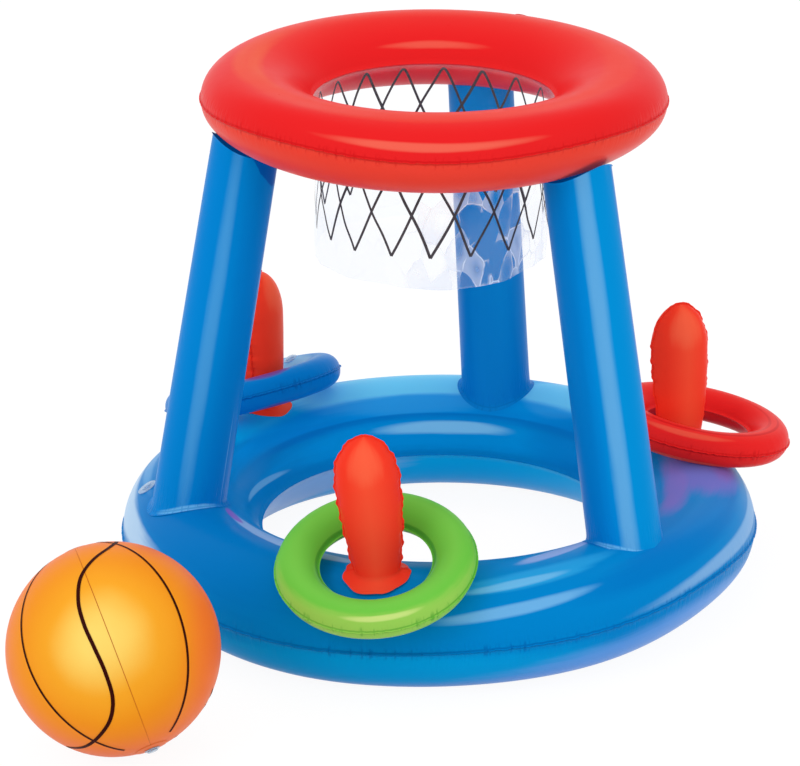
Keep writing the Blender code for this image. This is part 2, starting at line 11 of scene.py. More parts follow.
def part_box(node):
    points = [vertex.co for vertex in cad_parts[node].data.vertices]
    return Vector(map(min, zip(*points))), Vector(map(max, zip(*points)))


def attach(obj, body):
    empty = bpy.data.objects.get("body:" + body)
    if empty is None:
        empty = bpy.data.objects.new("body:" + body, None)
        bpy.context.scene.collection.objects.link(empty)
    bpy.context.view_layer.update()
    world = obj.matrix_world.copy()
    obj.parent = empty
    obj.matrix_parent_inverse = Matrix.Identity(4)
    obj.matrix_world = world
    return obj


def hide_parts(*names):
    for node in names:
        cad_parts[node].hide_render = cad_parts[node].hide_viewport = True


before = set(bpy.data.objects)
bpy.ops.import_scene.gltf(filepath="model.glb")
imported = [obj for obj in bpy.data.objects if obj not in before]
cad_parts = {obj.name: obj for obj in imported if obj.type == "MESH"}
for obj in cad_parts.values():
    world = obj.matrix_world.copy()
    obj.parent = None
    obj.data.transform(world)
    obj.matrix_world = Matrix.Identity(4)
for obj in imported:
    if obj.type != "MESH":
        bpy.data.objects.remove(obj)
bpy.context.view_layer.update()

# The camera. A long lens stands about 3.4 m in front of the set and looks down on it by some twenty
# degrees, so the rings show as wide ovals. It leans by half a degree, as the picture does.
set_low, set_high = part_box("base_upper_panel")
hub = Vector(((set_low.x + set_high.x) / 2, (set_low.y + set_high.y) / 2, 0.0))
sensor_wide, focal_pixels, picture_pixels = 36.0, 3807, 800
camera_place = Vector((0.0, -3.380706, 1.454447))
camera_aside, camera_down, camera_lean = 0.010615, 0.35692, -0.010317


def placed(name, data):
    """A new object in the scene."""
    made = bpy.data.objects.new(name, data)
    bpy.context.scene.collection.objects.link(made)
    return made


lens = bpy.data.cameras.new("camera")
lens.sensor_width = sensor_wide
lens.lens = sensor_wide * focal_pixels / picture_pixels
lens.clip_start, lens.clip_end = 0.1, 60.0
camera = placed("camera", lens)
camera.matrix_world = (
    Matrix.Translation(hub + camera_place)
    @ Matrix.Rotation(camera_aside, 4, "Z")
    @ Matrix.Rotation(math.pi / 2 - camera_down, 4, "X")
    @ Matrix.Rotation(camera_lean, 4, "Z")
)
bpy.context.scene.camera = camera


# The floor and the studio round it. The floor is plain white board. The light is even and pale from all
# round, with a broad lamp at the left front, a weaker one at the right and a wide one above.
class Value:
    """One output of a material's nodes. Sums and products of it add the Math nodes that they need."""

    def __init__(self, finish, link):
        self.finish, self.link = finish, link

    def math(self, operation, first, second=0.0):
        return self.finish.node("ShaderNodeMath", {"operation": operation}, {0: first, 1: second})

    def __add__(self, other):
        return self.math("ADD", self, other)

    def __sub__(self, other):
        return self.math("SUBTRACT", self, other)

    def __rsub__(self, other):
        return self.math("SUBTRACT", other, self)

    def __mul__(self, other):
        return self.math("MULTIPLY", self, other)

    def __abs__(self):
        return self.math("ABSOLUTE", self)

    __radd__, __rmul__ = __add__, __mul__


class Finish:
    """A material, or the world, and its nodes."""

    def __init__(self, owner):
        owner.use_nodes = True
        self.owner, self.tree = owner, owner.node_tree
        self.tree.nodes.clear()

    def node(self, kind, settings, sockets, output=0):
        """Adds a node: its settings first, then a value or a link for each of its sockets."""
        made = self.tree.nodes.new(kind)
        for key, value in settings.items():
            setattr(made, key, value)
        for key, value in sockets.items():
            if isinstance(value, Value):
                self.tree.links.new(value.link, made.inputs[key])
            else:
                made.inputs[key].default_value = value
        return Value(self, made.outputs[output])

    def colours(self, share, first, second):
        """The first colour, turning into the second as share goes from 0 to 1."""
        return self.node("ShaderNodeMix", {"data_type": "RGBA"}, {0: share, 6: first, 7: second}, 2)

    def shaders(self, share, first, second):
        return self.node("ShaderNodeMixShader", {}, {0: share, 1: first, 2: second})

    def span(self, value, start, end, low=0.0, high=1.0):
        """low before start, high after end, and a smooth step between them."""
        ends = {"Value": value, "From Min": start, "From Max": end, "To Min": low, "To Max": high}
        return self.node("ShaderNodeMapRange", {"interpolation_type": "SMOOTHSTEP"}, ends)

    def noise(self, place, scale, detail=2.0, stretch=None):
        """Soft noise, 0 to 1, with the place stretched first."""
        if stretch:
            place = self.vectors("MULTIPLY", place, stretch)
        return self.node("ShaderNodeTexNoise", {}, {"Vector": place, "Scale": scale, "Detail": detail})

    def vectors(self, operation, *values, output="Vector"):
        return self.node("ShaderNodeVectorMath", {"operation": operation}, dict(enumerate(values)), output)

    def part(self, vector, axis):
        return self.node("ShaderNodeSeparateXYZ", {}, {"Vector": vector}, axis)

    def place(self):
        """Where a point lies, in its object's own metres."""
        return self.node("ShaderNodeTexCoord", {}, {}, "Object")

    def lay(self):
        """What film() wrote at a point."""
        return self.node("ShaderNodeAttribute", {"attribute_name": "lay"}, {}, "Vector")

    def bump(self, relief, strength):
        sockets = {"Height": relief, "Distance": 1.0, "Strength": strength}
        return self.node("ShaderNodeBump", {}, sockets, "Normal")

    def skin(self, sockets):
        return self.node("ShaderNodeBsdfPrincipled", {}, sockets)

    def shown(self, surface, kind="ShaderNodeOutputMaterial"):
        made = self.tree.nodes.new(kind)
        self.tree.links.new(surface.link, made.inputs["Surface"])
        return self.owner


def screen(red, green, blue):
    """A colour given in screen values, as the shaders take it."""
    return (*[((value / 255 + 0.055) / 1.055) ** 2.4 for value in (red, green, blue)], 1.0)


def seen_directly(finish):
    """1 for what the camera sees, also in a gloss or through film, and 0 for what lights the set."""
    rays = [
        finish.node("ShaderNodeLightPath", {}, {}, key)
        for key in ("Is Camera Ray", "Is Glossy Ray", "Is Transmission Ray")
    ]
    return rays[0].math("MAXIMUM", rays[0], rays[0].math("MAXIMUM", rays[1], rays[2]))


def shaped(name, points, faces, finish):
    """A new object with its mesh and its material."""
    mesh = bpy.data.meshes.new(name)
    mesh.from_pydata(points, [], faces)
    mesh.materials.append(finish)
    return placed(name, mesh)


white, even_light, board_light = (1.0, 1.0, 1.0, 1.0), 0.84, 1.06
room = Finish(bpy.data.worlds.new("room"))
bright = room.node("ShaderNodeBackground", {}, {"Color": white, "Strength": 1.0})
even = room.node("ShaderNodeBackground", {}, {"Color": white, "Strength": even_light})
sky = room.shaders(seen_directly(room), even, bright)
bpy.context.scene.world = room.shown(sky, "ShaderNodeOutputWorld")

board = Finish(bpy.data.materials.new("white_board"))
matt = board.node("ShaderNodeBsdfDiffuse", {}, {"Color": (0.88, 0.88, 0.88, 1.0)})
lit = board.node("ShaderNodeEmission", {}, {"Color": white, "Strength": board_light})
board.shown(board.shaders(seen_directly(board) * 0.88, matt, lit))
floor_half, floor_low = 14.0, -0.0003
corners = [(x * floor_half, y * floor_half, 0.0) for x, y in ((-1, -1), (1, -1), (1, 1), (-1, 1))]
floor = shaped("floor", corners, [(0, 1, 2, 3)], board.owner)
floor.location.z = floor_low

for lamp_name, lamp_place, watts, wide in (
    ("left_lamp", (-2.1, -2.3, 2.4), 21.0, 1.5),
    ("right_lamp", (2.6, -1.6, 1.5), 8.0, 1.2),
    ("top_lamp", (0.2, 0.9, 3.0), 8.0, 2.0),
):
    lamp = bpy.data.lights.new(lamp_name, "AREA")
    lamp.energy, lamp.size = watts, wide
    holder = placed(lamp_name, lamp)
    holder.location = lamp_place
    to_set = Vector((0.0, 0.0, 0.25)) - Vector(lamp_place)
    holder.rotation_euler = to_set.to_track_quat("-Z", "Y").to_euler()


# The base ring: a wide chamber of deep blue, see-through vinyl. Two flat rings of film are welded together
# along both edges and blown up, so the outer seam comes out puckered. Its paler streaks are painted
# highlights and painted reflections, its darker ones painted shade, and the violet near the red pieces above
# it is their painted reflection.
base_inner, base_outer, base_fullness, base_seam_height = 0.1710, 0.3025, 0.97, 0.05321
weld_wide, film_thick, film_gap = 0.0018, 0.0004, 0.0003


def film_path(crest, inner, outer, steps):
    """The blown film's line from the outer seam over the crest to the inner one."""
    reach = outer**2 - crest**2
    last = math.asin((inner**2 - crest**2) / reach)
    outer_steps = (steps + 1) // 2
    corners = [math.pi / 2 * (1 - i / outer_steps) for i in range(outer_steps)]
    corners += [last * i / (steps - outer_steps) for i in range(steps - outer_steps + 1)]
    line, height, fine = [(outer, 0.0)], 0.0, 8
    for first, second in zip(corners, corners[1:]):
        for i in range(fine):
            angle = first + (second - first) * (i + 0.5) / fine
            radius = math.sqrt(crest**2 + reach * math.sin(angle))
            height += reach * math.sin(angle) / (2 * radius) * (first - second) / fine
        line.append((math.sqrt(crest**2 + reach * math.sin(second)), height))
    return line


def section(inner, outer, fullness, steps):
    """The outer face of a blown ring's upper film, from the outer seam to the inner one."""
    low, high = inner * 1.0001, math.sqrt((inner**2 + outer**2) / 2) * 0.999999
    for _ in range(50):
        crest = (low + high) / 2
        if film_path(crest, inner, outer, steps)[-1][1] > 0:
            low = crest
        else:
            high = crest
    line = film_path(crest, inner, outer, steps)
    line[-1] = (inner, 0.0)
    return np.array([(r, z * fullness + film_gap / 2 + film_thick) for r, z in line])


def ripple(turn, waves, seed):
    """An uneven wave round a ring, about -1 to 1. waves is how many of them go round."""
    chance = np.random.RandomState(seed)
    total = np.zeros_like(turn)
    for share, many in ((1.0, 1.0), (0.8, 0.71), (0.7, 0.87), (0.5, 0.53)):
        total += share * np.sin(round(waves * many) * turn + chance.uniform(0, 2 * math.pi))
    slow = sum(np.sin(k * turn + chance.uniform(0, 2 * math.pi)) for k in (3, 7, 12)) / 3
    return total / 1.9 * (0.75 + 0.45 * slow)


def moved(points, matrix):
    return np.asarray(points) @ np.array(matrix.to_3x3()).T + np.array(matrix.translation)


def joined(*parts):
    """Points from arrays of their coordinates."""
    return np.stack(np.broadcast_arrays(*parts), axis=-1)


def film(name, points, lay, finish, closed=True, flip=False):
    """A film piece from rows of points. lay is what its material reads at each point: where the point is
    round the piece, as a cosine and a sine, and how far it is from the seam along the film."""
    points, lay = np.asarray(points, float), np.asarray(lay, float)
    rows, columns = points.shape[:2]
    index = np.arange(rows * columns).reshape(rows, columns)
    after = np.roll(index, -1, axis=1) if closed else index[:, 1:]
    index = index if closed else index[:, :-1]
    faces = joined(index[:-1], after[:-1], after[1:], index[1:]).reshape(-1, 4)
    faces = faces[:, ::-1] if flip else faces
    made = shaped(name, points.reshape(-1, 3).tolist(), faces.tolist(), finish)
    made.data.shade_smooth()
    written = made.data.attributes.new("lay", "FLOAT_VECTOR", "POINT")
    written.data.foreach_set("vector", lay.astype(np.float32).ravel())
    return made


def blown_panel(name, sizes, weld, upper, segments, puckers, place, finish, rest=None, waves=()):
    """One film of a blown ring, with the flat weld strips along its edges. puckers is how many go round
    the outer seam and how far they lift it. waves are slow bends of that seam: turn, width and lift."""
    inner, outer, fullness, steps = sizes
    line = section(inner, outer, fullness, steps)
    runs = np.concatenate([[0.0], np.cumsum(np.hypot(*np.diff(line, axis=0).T))])
    full, seam_z = runs[-1], line[0, 1]
    outer_strip, inner_strip = ((1.0, 0.1), (0.66, 0.8), (0.33, 1.0)), ((0.5, 1.0), (1.0, 0.1))
    line = np.concatenate(
        [
            [(outer + weld * share, seam_z * thick) for share, thick in outer_strip],
            line,
            [(inner - weld * share, seam_z * thick) for share, thick in inner_strip],
        ]
    )
    outer_runs = [-weld * share for share, _ in outer_strip]
    inner_runs = [full + weld * share for share, _ in inner_strip]
    runs = np.concatenate([outer_runs, runs, inner_runs])
    turn = np.arange(segments) * 2 * math.pi / segments
    many, lift = puckers
    wave = ripple(turn, many, many)
    fold = ripple(turn, many * 0.6, many + (3 if upper else 5))
    reach = weld * 2.6
    side = 1.0 if upper else -1.0
    radius, height = line[:, :1] + 0 * turn, side * line[:, 1:] + 0 * turn
    from_outer = np.clip(runs, 0, None) / reach
    near_outer = (np.exp(-from_outer) * np.where(runs < 0, 1 - runs / weld * 0.5, 1.0))[:, None]
    near_inner = np.exp(-np.clip(full - runs, 0, None) / reach)[:, None]
    height = height + lift * wave * near_outer + lift * 0.3 * np.roll(wave, 17) * near_inner
    crease = from_outer * np.exp(1 - from_outer)
    height = height + side * lift * 0.45 * fold * crease[:, None]
    radius = radius - lift * 0.5 * np.abs(wave) * near_outer
    crest = line[np.argmax(line[:, 1]), 0]
    outward = np.clip((radius - crest) / (outer - crest), 0, 1)
    for middle, wide, bend in waves:
        off = (turn - math.radians(middle) + math.pi) % (2 * math.pi) - math.pi
        height = height + bend * np.exp(-((off / math.radians(wide)) ** 2)) * outward**2 * (3 - 2 * outward)
    if rest is not None:
        height = np.maximum(height, rest)
    points = moved(joined(radius * np.cos(turn), radius * np.sin(turn), height), place)
    lay = joined(np.cos(turn), np.sin(turn), runs[:, None])
    return film(name, points, lay, finish, flip=not upper)


def vinyl(
    name, colour, crest, weld, width, cells, painted_light, tint, grain=(3.0, 3.0, 170.0), clear=0.0, painted_glow=0.09
):
    """Soft vinyl film: its colour, its colour along the crest, and its darker weld, in screen values. The
    crest is lighter partly because the film is blown thinnest there and partly as a painted highlight. width
    is the film's
    from seam to seam, and cells how many puckers go round it. The patches are long and round, of painted
    light:
    painted highlights, painted reflections, painted shade, and other pieces painted in as they show in the
    film.
    Each gives its middle and half-width in degrees round the piece, middle and half-width from the seam, how
    far it slants, how soft its edge is, its colour and its strength. tint is the hue of the gloss and of what
    shows through, grain how the edges are drawn out, clear how much shows through, and the last how strongly
    the film glows in its own colour, a painted glow."""
    colour, crest, weld = screen(*colour), screen(*crest), screen(*weld)
    finish = Finish(bpy.data.materials.new(name))
    lay, place = finish.lay(), finish.place()
    run = finish.part(lay, "Z")
    cloud = finish.noise(place, 9.0, 3.0)
    fine = finish.noise(place, 60.0, 3.0)
    drawn = finish.noise(lay, 1.0, 4.0, grain)
    middle = 1 - abs(run * (2 / width) - 1)
    # Lighter along the crest: partly the thinner film, partly a painted highlight.
    tone = finish.colours(finish.span(middle + (cloud - 0.5) * 0.5, 0.35, 1.1), colour, crest)
    broken = (drawn - 0.5) * 0.9 + (fine - 0.5) * 0.15
    # Each patch lays painted light over the tone: a painted highlight, a painted reflection or painted shade.
    for turn, half, centre, wide, slant, soft, painted_colour, strength in painted_light:
        angle = math.radians(turn)
        ahead = (math.cos(angle), math.sin(angle), 0.0)
        aside = (slant * ahead[1], -slant * ahead[0], 1.0)
        facing, drift = (finish.vectors("DOT_PRODUCT", lay, way, output="Value") for way in (ahead, aside))
        drift = (drift - centre) * (1 / wide)
        spread = (1 - facing) * (1 / (1 - math.cos(math.radians(half)))) + drift * drift
        cover = finish.span(spread + broken * (0.3 + soft), 1 - soft, 1 + soft, strength, 0.0)
        tone = finish.colours(cover, tone, screen(*painted_colour))
    pucker = finish.noise(lay, 1.6, 2.0, (cells / 6.3, cells / 6.3, 34.0))
    near_weld = finish.span(abs(run - 0.0005), 0.0004, 0.0013, 0.5, 0.0)
    # Painted shade in the puckers' folds beside the outer seam, in the weld's colour; the weld line itself is
    # the film's own darker colour.
    pucker_shade = finish.span(run, 0.001, 0.007, 0.6, 0.0) * finish.span(pucker, 0.52, 0.70)
    tone = finish.colours(near_weld.math("MAXIMUM", near_weld, pucker_shade), tone, weld)
    near_seam = finish.span(run, 0.0, 0.13 * width, 1.0, 0.0)
    relief = pucker * near_seam * 0.0013 + fine * 0.00010 + cloud * 0.0009
    skin = finish.skin(
        {
            "Base Color": tone,
            "Roughness": 0.30 + (fine - 0.5) * 0.10,
            "IOR": 1.5,
            "Specular IOR Level": 0.04,
            "Specular Tint": tint,
            "Normal": finish.bump(relief, 0.8),
            # The emission is a painted glow of the film's own colour.
            "Emission Color": tone,
            "Emission Strength": painted_glow,
        }
    )
    glow = finish.node("ShaderNodeBsdfTranslucent", {}, {"Color": crest})
    body = finish.shaders(0.06, skin, glow)
    if clear:
        window = finish.node("ShaderNodeBsdfTransparent", {}, {"Color": tint})
        facing = finish.node("ShaderNodeLayerWeight", {}, {"Blend": 0.4}, "Facing")
        body = finish.shaders((1 - facing) * clear, body, window)
    return finish.shown(body)


# Colours of painted light on the blue film: the first painted shade, the second painted light, the third the
# red pieces' painted reflection, and the last a painted reflection along the rim.
shade_blue, lit_blue, red_reflection_violet = (0, 116, 194), (0, 160, 224), (118, 122, 208)
rim_reflection_lavender = (138, 186, 232)
# Painted light on the base's upper film: paler patches are painted highlights and painted reflections, darker
# blue ones painted shade, and the violet ones the red pieces' painted reflection.
base_upper_painted_light = (
    (-140, 36, 0.062, 0.045, 0.0, 0.8, shade_blue, 0.7),
    (-34, 28, 0.046, 0.018, 0.02, 0.6, shade_blue, 0.7),
    (178, 30, 0.023, 0.015, 0.0, 0.5, (182, 214, 242), 0.95),
    (170, 16, 0.048, 0.006, 0.02, 0.7, (120, 186, 236), 0.5),
    (-6, 42, 0.020, 0.0080, 0.021, 0.5, rim_reflection_lavender, 0.8),
    (-130, 23, 0.104, 0.009, -0.034, 0.3, (146, 188, 236), 0.9),
    (-151, 6, 0.1145, 0.0045, -0.034, 0.4, (136, 104, 204), 0.9),
    (-76, 14, 0.034, 0.0055, 0.025, 0.6, (112, 182, 234), 0.95),
    (-70, 16, 0.065, 0.010, 0.030, 0.6, (44, 166, 228), 0.9),
    (-75, 10, 0.059, 0.0042, 0.030, 0.6, (116, 194, 240), 0.85),
    (-60, 13, 0.104, 0.009, 0.073, 0.3, (146, 180, 236), 0.9),
    (-24, 16, 0.060, 0.013, 0.0, 0.9, (28, 138, 212), 0.4),
    (2, 17, 0.078, 0.036, 0.0, 0.5, red_reflection_violet, 0.95),
    (-13, 16, 0.102, 0.012, 0.04, 0.8, (132, 122, 206), 0.85),
    (5, 10, 0.060, 0.012, 0.0, 0.7, (140, 110, 196), 0.7),
    (100, 64, 0.098, 0.043, 0.0, 0.12, (0, 174, 240), 0.95),
    (98, 31, 0.104, 0.037, 0.0, 0.3, (110, 214, 255), 0.95),
    (57, 11, 0.100, 0.034, 0.0, 0.3, (110, 210, 255), 0.9),
    (92, 80, 0.133, 0.016, 0.0, 0.5, (0, 152, 234), 0.85),
    (95, 62, 0.1465, 0.0050, 0.0, 0.5, (0, 122, 204), 0.8),
    (90, 60, 0.163, 0.016, 0.0, 0.7, (0, 160, 236), 0.85),
    (88, 20, 0.157, 0.0065, 0.0, 0.6, (134, 214, 255), 0.9),
    (163, 16, 0.166, 0.003, -0.017, 0.5, (110, 184, 234), 0.8),
    (40, 20, 0.155, 0.030, 0.0, 0.8, shade_blue, 0.5),
)
# Painted light on the base's lower film: lighter patches against its shade, and painted reflections along the
# rims.
base_lower_painted_light = (
    (-100, 38, 0.024, 0.026, 0.0, 0.7, lit_blue, 0.9),
    (-62, 74, 0.060, 0.022, 0.0, 0.7, (86, 152, 222), 0.8),
    (-40, 40, 0.042, 0.028, 0.0, 0.6, (104, 162, 234), 0.85),
    (82, 74, 0.165, 0.050, 0.0, 0.7, (0, 190, 250), 0.95),
    (140, 36, 0.166, 0.026, -0.02, 0.6, (150, 194, 240), 0.9),
)
base_size = (base_inner, base_outer, base_fullness, 36)
base_line = section(*base_size)
base_crest = base_line[np.argmax(base_line[:, 1])]
base_place = Matrix.Translation(hub + Vector((0.0, 0.0, base_seam_height)))
base_seam_bends = ((-32, 22, 0.011), (-118, 30, -0.008))
base_puckers, base_segments, base_film_wide, base_cells = (170, 0.0004), 900, 0.185, 320
blue_tint, blue_weld = (0.02, 0.50, 0.92, 1.0), (0, 92, 170)
for side, upper, painted_light in (("upper", True, base_upper_painted_light), ("lower", False, base_lower_painted_light)):
    blue_film = vinyl(
        f"blue_{side}_vinyl", (0, 133, 206), (0, 139, 210), blue_weld, base_film_wide, base_cells, painted_light,
        tint=blue_tint, clear=0.04,
    )
    rest = None if upper else -base_seam_height + 0.0002
    base_film = blown_panel(
        f"base_{side}_film", base_size, weld_wide, upper, base_segments, base_puckers, base_place,
        blue_film, rest, base_seam_bends,
    )
    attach(base_film, "frame")
    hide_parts(f"base_{side}_panel")


# The hoop: a smaller chamber of opaque red vinyl, made like the base ring. Its outer weld shows as a thin,
# slightly darker line with close puckers. It hangs a little out of level on its three legs.
hoop_size, hoop_weld = (0.1130, 0.2151, 0.815, 32), 0.0014
hoop_line = section(*hoop_size)
hoop_place = (
    Matrix.Translation(hub + Vector((-0.0018, 0.0, 0.4743)))
    @ Matrix.Rotation(math.radians(0.7), 4, "Y")
    @ Matrix.Rotation(math.radians(0.6), 4, "X")
)
hoop_seam_bends = ((-133, 32, 0.008), (-47, 32, 0.008), (-90, 90, 0.0025))
hoop_puckers, hoop_segments, hoop_film_wide, hoop_cells = (140, 0.0003), 760, 0.133, 260
# Painted light on the red film: orange and pink patches are painted highlights, and the lighter red patches
# on the lower film lift its shade as painted light.
pink_highlight = (242, 108, 88)
hoop_upper_painted_light = (
    (180, 36, 0.061, 0.013, 0.0, 0.8, (235, 82, 46), 0.9),
    (-105, 66, 0.058, 0.014, 0.0, 0.8, (235, 58, 42), 0.8),
    (-8, 40, 0.062, 0.014, 0.0, 0.8, (235, 58, 42), 0.8),
    (-91, 24, 0.0132, 0.0040, 0.0, 0.7, pink_highlight, 0.8),
    (90, 20, 0.1145, 0.0038, 0.0, 0.9, pink_highlight, 0.65),
    (90, 80, 0.058, 0.014, 0.0, 0.8, (235, 56, 42), 0.6),
)
hoop_lower_painted_light = (
    (-90, 100, 0.016, 0.040, 0.0, 0.5, (238, 70, 54), 0.9),
    (170, 50, 0.040, 0.020, 0.0, 0.8, (244, 110, 110), 0.7),
    (-20, 40, 0.040, 0.020, 0.0, 0.8, (244, 104, 100), 0.7),
    (90, 80, 0.100, 0.050, 0.0, 0.6, (248, 60, 70), 0.9),
)
for side, upper, painted_light in (("upper", True, hoop_upper_painted_light), ("lower", False, hoop_lower_painted_light)):
    red_film = vinyl(
        f"red_{side}_vinyl", (232, 36, 38), (233, 44, 38), (206, 18, 24), hoop_film_wide, hoop_cells,
        painted_light, tint=(1.0, 0.14, 0.09, 1.0),
    )
    hoop_film = blown_panel(
        f"hoop_{side}_film", hoop_size, hoop_weld, upper, hoop_segments, hoop_puckers, hoop_place,
        red_film, waves=hoop_seam_bends,
    )
    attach(hoop_film, "frame")
    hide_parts(f"hoop_{side}_panel")


# The three legs: blown tubes of the same blue film. Each is welded by a narrow flange to the top of the
# base ring and to the underside of the hoop, and leans in from one to the other.
leg_foot, leg_head, leg_head_circle, leg_flange, leg_clear = 0.0348, 0.0312, 0.1730, 0.0040, 0.0006


def height_over(line, points):
    """The chamber's surface above its seam, at points given from the ring's middle."""
    return np.interp(np.hypot(points[:, 0], points[:, 1]), line[::-1, 0], line[::-1, 1])


def met(start, way, low, high, above):
    """Where each line from start along way comes out of a chamber: above() is positive outside it."""
    low, high = np.full(len(start), low), np.full(len(start), high)
    for _ in range(40):
        middle = (low + high) / 2
        outside = above(start + way * middle[:, None]) > 0
        low, high = np.where(outside, low, middle), np.where(outside, middle, high)
    return (low + high) / 2


def above_base(points):
    flat = points - np.array(hub)
    return flat[:, 2] - base_seam_height - height_over(base_line, flat)


def laid_on_base(points, above):
    """The points, raised or lowered onto the base ring's film."""
    points[:, 2] = base_seam_height + height_over(base_line, points - np.array(hub)) + above
    return points


def below_hoop(points):
    flat = moved(points, hoop_place.inverted())
    return -height_over(hoop_line, flat) - flat[:, 2]


def leg_points(angle, foot_out, sides=96, steps=70):
    """Rows of points from the flange on the base, up the tube, to the flange under the hoop."""
    way = np.array((math.cos(angle), math.sin(angle), 0.0))
    foot = np.array(hub) + way * (base_crest[0] + foot_out) + np.array((0, 0, base_seam_height))
    head = moved(way * leg_head_circle, hoop_place)
    length = np.linalg.norm(head - foot)
    along = (head - foot) / length
    across = np.cross((0.0, 0.0, 1.0), along)
    across /= np.linalg.norm(across)
    third = np.cross(along, across)
    turn = np.arange(sides) * 2 * math.pi / sides
    out = np.cos(turn)[:, None] * across + np.sin(turn)[:, None] * third
    low = met(foot + out * leg_foot, np.tile(along, (sides, 1)), 0.0, length / 2, above_base)
    high = met(head + out * leg_head, np.tile(-along, (sides, 1)), 0.0, length / 2, below_hoop)
    rows, runs = [], []
    for share in (1.0, 0.5):
        low_edge = foot + out * (leg_foot + leg_flange * share) + along * low[:, None]
        rows.append(laid_on_base(low_edge, 0.0004))
        runs.append(-leg_flange * share)
    for i in range(steps + 1):
        share = 0.35 * i / steps + 0.65 * (0.5 - 0.5 * math.cos(math.pi * i / steps))
        reach = low + leg_clear + (length - high - low - 2 * leg_clear) * share
        radius = leg_foot + (leg_head - leg_foot) * reach / length
        ends = np.minimum(reach - low, length - high - reach)
        radius = radius + 0.0018 * np.exp(-(reach - low) / 0.0018)
        crimp = 0.0005 * ripple(turn, 13, int(angle * 10)) * np.exp(-ends / 0.014)
        rows.append(foot + along * reach[:, None] + out * (radius + crimp)[:, None])
        runs.append(share * length)
    for share in (0.5, 1.0):
        high_edge = head + out * (leg_head + 0.0012 * share) - along * high[:, None]
        high_edge = moved(high_edge, hoop_place.inverted())
        high_edge[:, 2] = -height_over(hoop_line, high_edge) - 0.0004
        rows.append(moved(high_edge, hoop_place))
        runs.append(length + leg_flange * share)
    return rows, joined(np.sin(angle + turn), -np.cos(angle + turn), np.array(runs)[:, None])


# Painted light on the legs: a painted highlight along each foot weld, highlight stripes down their length,
# darker sides as painted shade, and on the left leg the hoop's painted shadow under its head.
foot_weld_highlight = (-90, 46, 0.0, 0.004, 0.0, 0.6, (112, 190, 240), 0.8)
legs = (
    (
        "back", 75.5, 0.0,
        ((-94, 34, 0.2, 1.0, 0.0, 0.9, (14, 146, 224), 0.8), (0, 40, 0.2, 1.0, 0.0, 0.8, shade_blue, 0.5)),
    ),
    (
        "left", 195.5, 0.0085,
        (
            (-100, 11, 0.22, 0.24, 0.0, 1.0, (74, 160, 224), 0.8),
            (-28, 44, 0.2, 1.0, 0.0, 0.6, (0, 126, 208), 0.8),
            (-34, 2.0, 0.06, 0.06, 0.0, 0.6, (96, 170, 228), 0.7),
            (-50, 74, 0.458, 0.052, -0.045, 0.06, (0, 84, 174), 0.9),
            foot_weld_highlight,
        ),
    ),
    (
        "right", 315.5, 0.0037,
        (
            (-58, 40, 0.2, 1.0, 0.0, 0.7, (0, 146, 216), 0.8),
            (-150, 34, 0.2, 1.0, 0.0, 0.8, (0, 118, 198), 0.7),
            (-84, 12, 0.2, 0.8, 0.0, 1.0, (98, 172, 226), 0.9),
            (-4, 12, 0.2, 1.0, 0.0, 0.5, (70, 140, 214), 0.6),
            foot_weld_highlight,
        ),
    ),
)
for leg_name, degrees, foot_out, painted_light in legs:
    leg_film = vinyl(
        f"{leg_name}_leg_vinyl", (0, 132, 212), (0, 134, 214), (0, 118, 198), 0.42, 60, painted_light,
        tint=blue_tint, grain=(5.0, 5.0, 9.0),
    )
    leg = film(f"{leg_name}_leg_film", *leg_points(math.radians(degrees), foot_out), leg_film)
    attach(leg, "frame")
    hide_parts(f"{leg_name}_leg")


# The skirt: a loop of thin clear film, welded under the hoop's inner seam and left hanging. Its hem is cut
# plain, so it waves a little, and the film keeps the flat crumpled places that it got in the box, in a slight
# relief. Their whitish sheen is a painted reflection, and the lavender low on the near side, the pale band
# under the weld and the film's glow are painted light too.
skirt_long, skirt_top, skirt_hem = 0.1490, 0.1094, 0.1080
skirt_height = -film_gap * 1.5 - film_thick * 2


def skirt_points(turn, drop, proud=0.0):
    """Places on the hanging film, round it and down it, and how far they stand proud of it."""
    share = np.clip(drop / skirt_long, 0, 1)
    wave = np.sin(5 * turn + 0.7) + 0.7 * np.sin(9 * turn + 2.1 + 1.2 * share)
    wave = wave + 0.5 * np.sin(14 * turn + 4.0 - 2 * share)
    fold = np.sin(23 * turn + 9 * share) * np.sin(4 * turn + 5 * share + 1)
    reach = skirt_top + (skirt_hem - skirt_top) * share + 0.0015 * wave * share**1.2
    reach = reach + 0.0006 * fold * np.sqrt(share) + proud
    x, y = reach * np.cos(turn) - 0.0035 * share, reach * np.sin(turn)
    return moved(joined(x, y, skirt_height - drop), hoop_place)


skirt_turn = np.arange(480) * 2 * math.pi / 480
skirt_drop = np.linspace(0, 1, 61)[:, None] * skirt_long * (1 + 0.010 * np.sin(4 * skirt_turn + 1) - 0.010)
skirt_weld = 0.003
weld_band = skirt_points(skirt_turn, 0 * skirt_turn, skirt_weld)
skirt_lay = joined(np.cos(skirt_turn), np.sin(skirt_turn), skirt_drop)

